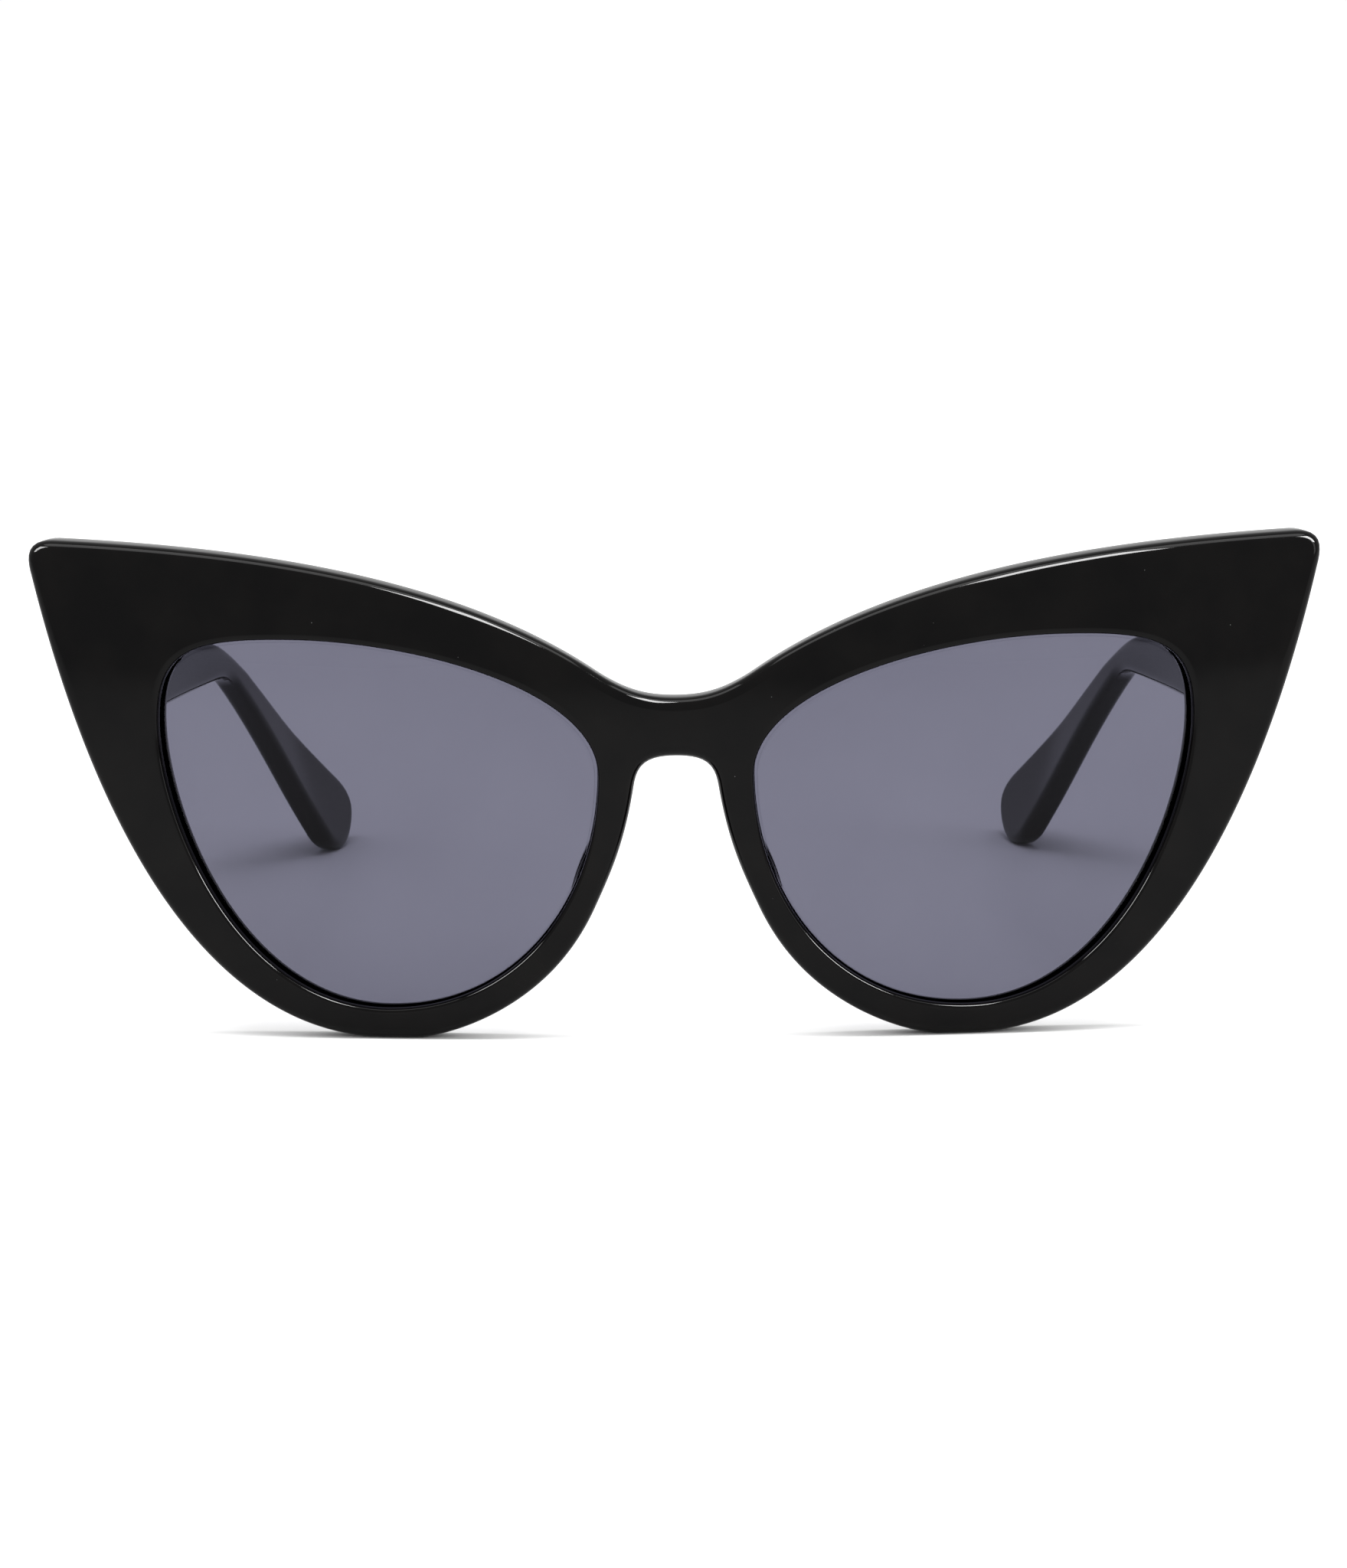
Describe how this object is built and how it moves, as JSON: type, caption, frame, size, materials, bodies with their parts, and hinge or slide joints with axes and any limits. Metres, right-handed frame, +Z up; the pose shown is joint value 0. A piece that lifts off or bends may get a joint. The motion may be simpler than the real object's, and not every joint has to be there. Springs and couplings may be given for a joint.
{
  "type": "cat eye sunglasses",
  "caption": "Cat eye sunglasses with a glossy black wing-tipped front, grey tinted lenses and folding temples on barrel hinges.",
  "frame": {"origin": "on the surface the glasses stand on, under the middle of their footprint", "axes": "+X to the wearer's left, +Z up, -Y the way the wearer looks, so the temples run back along +Y"},
  "size_m": [0.1492, 0.1356, 0.0573],
  "materials": {
    "black_acetate": "polished gloss",
    "tinted_lens": "smooth smoke grey tint",
    "hinge_steel": "satin",
    "screw_steel": "polished",
    "wire_steel": "drawn"
  },
  "bodies": {
    "front": {"front_frame": "black_acetate", "left_lens": "tinted_lens", "left_nose_pad": "black_acetate", "left_front_leaf": "hinge_steel", "left_hinge_screw": "screw_steel", "left_front_rivet_lower": "screw_steel", "left_front_rivet_upper": "screw_steel", "right_lens": "tinted_lens", "right_nose_pad": "black_acetate", "right_front_leaf": "hinge_steel", "right_hinge_screw": "screw_steel", "right_front_rivet_lower": "screw_steel", "right_front_rivet_upper": "screw_steel"},
    "left_arm": {"left_temple": "black_acetate", "left_temple_leaf": "hinge_steel", "left_core_wire": "wire_steel", "left_temple_rivet_lower": "screw_steel", "left_temple_rivet_upper": "screw_steel"},
    "right_arm": {"right_temple": "black_acetate", "right_temple_leaf": "hinge_steel", "right_core_wire": "wire_steel", "right_temple_rivet_lower": "screw_steel", "right_temple_rivet_upper": "screw_steel"}
  },
  "joints": [
    {"name": "left_temple_fold", "type": "hinge", "parent": "front", "child": "left_arm", "pos_m": [0.0622, -0.05521, 0.0392], "axis": [0, 0, 1], "range_deg": [0, 79]},
    {"name": "right_temple_fold", "type": "hinge", "parent": "front", "child": "right_arm", "pos_m": [-0.0622, -0.05521, 0.0392], "axis": [0, 0, -1], "range_deg": [0, 71]}
  ]
}
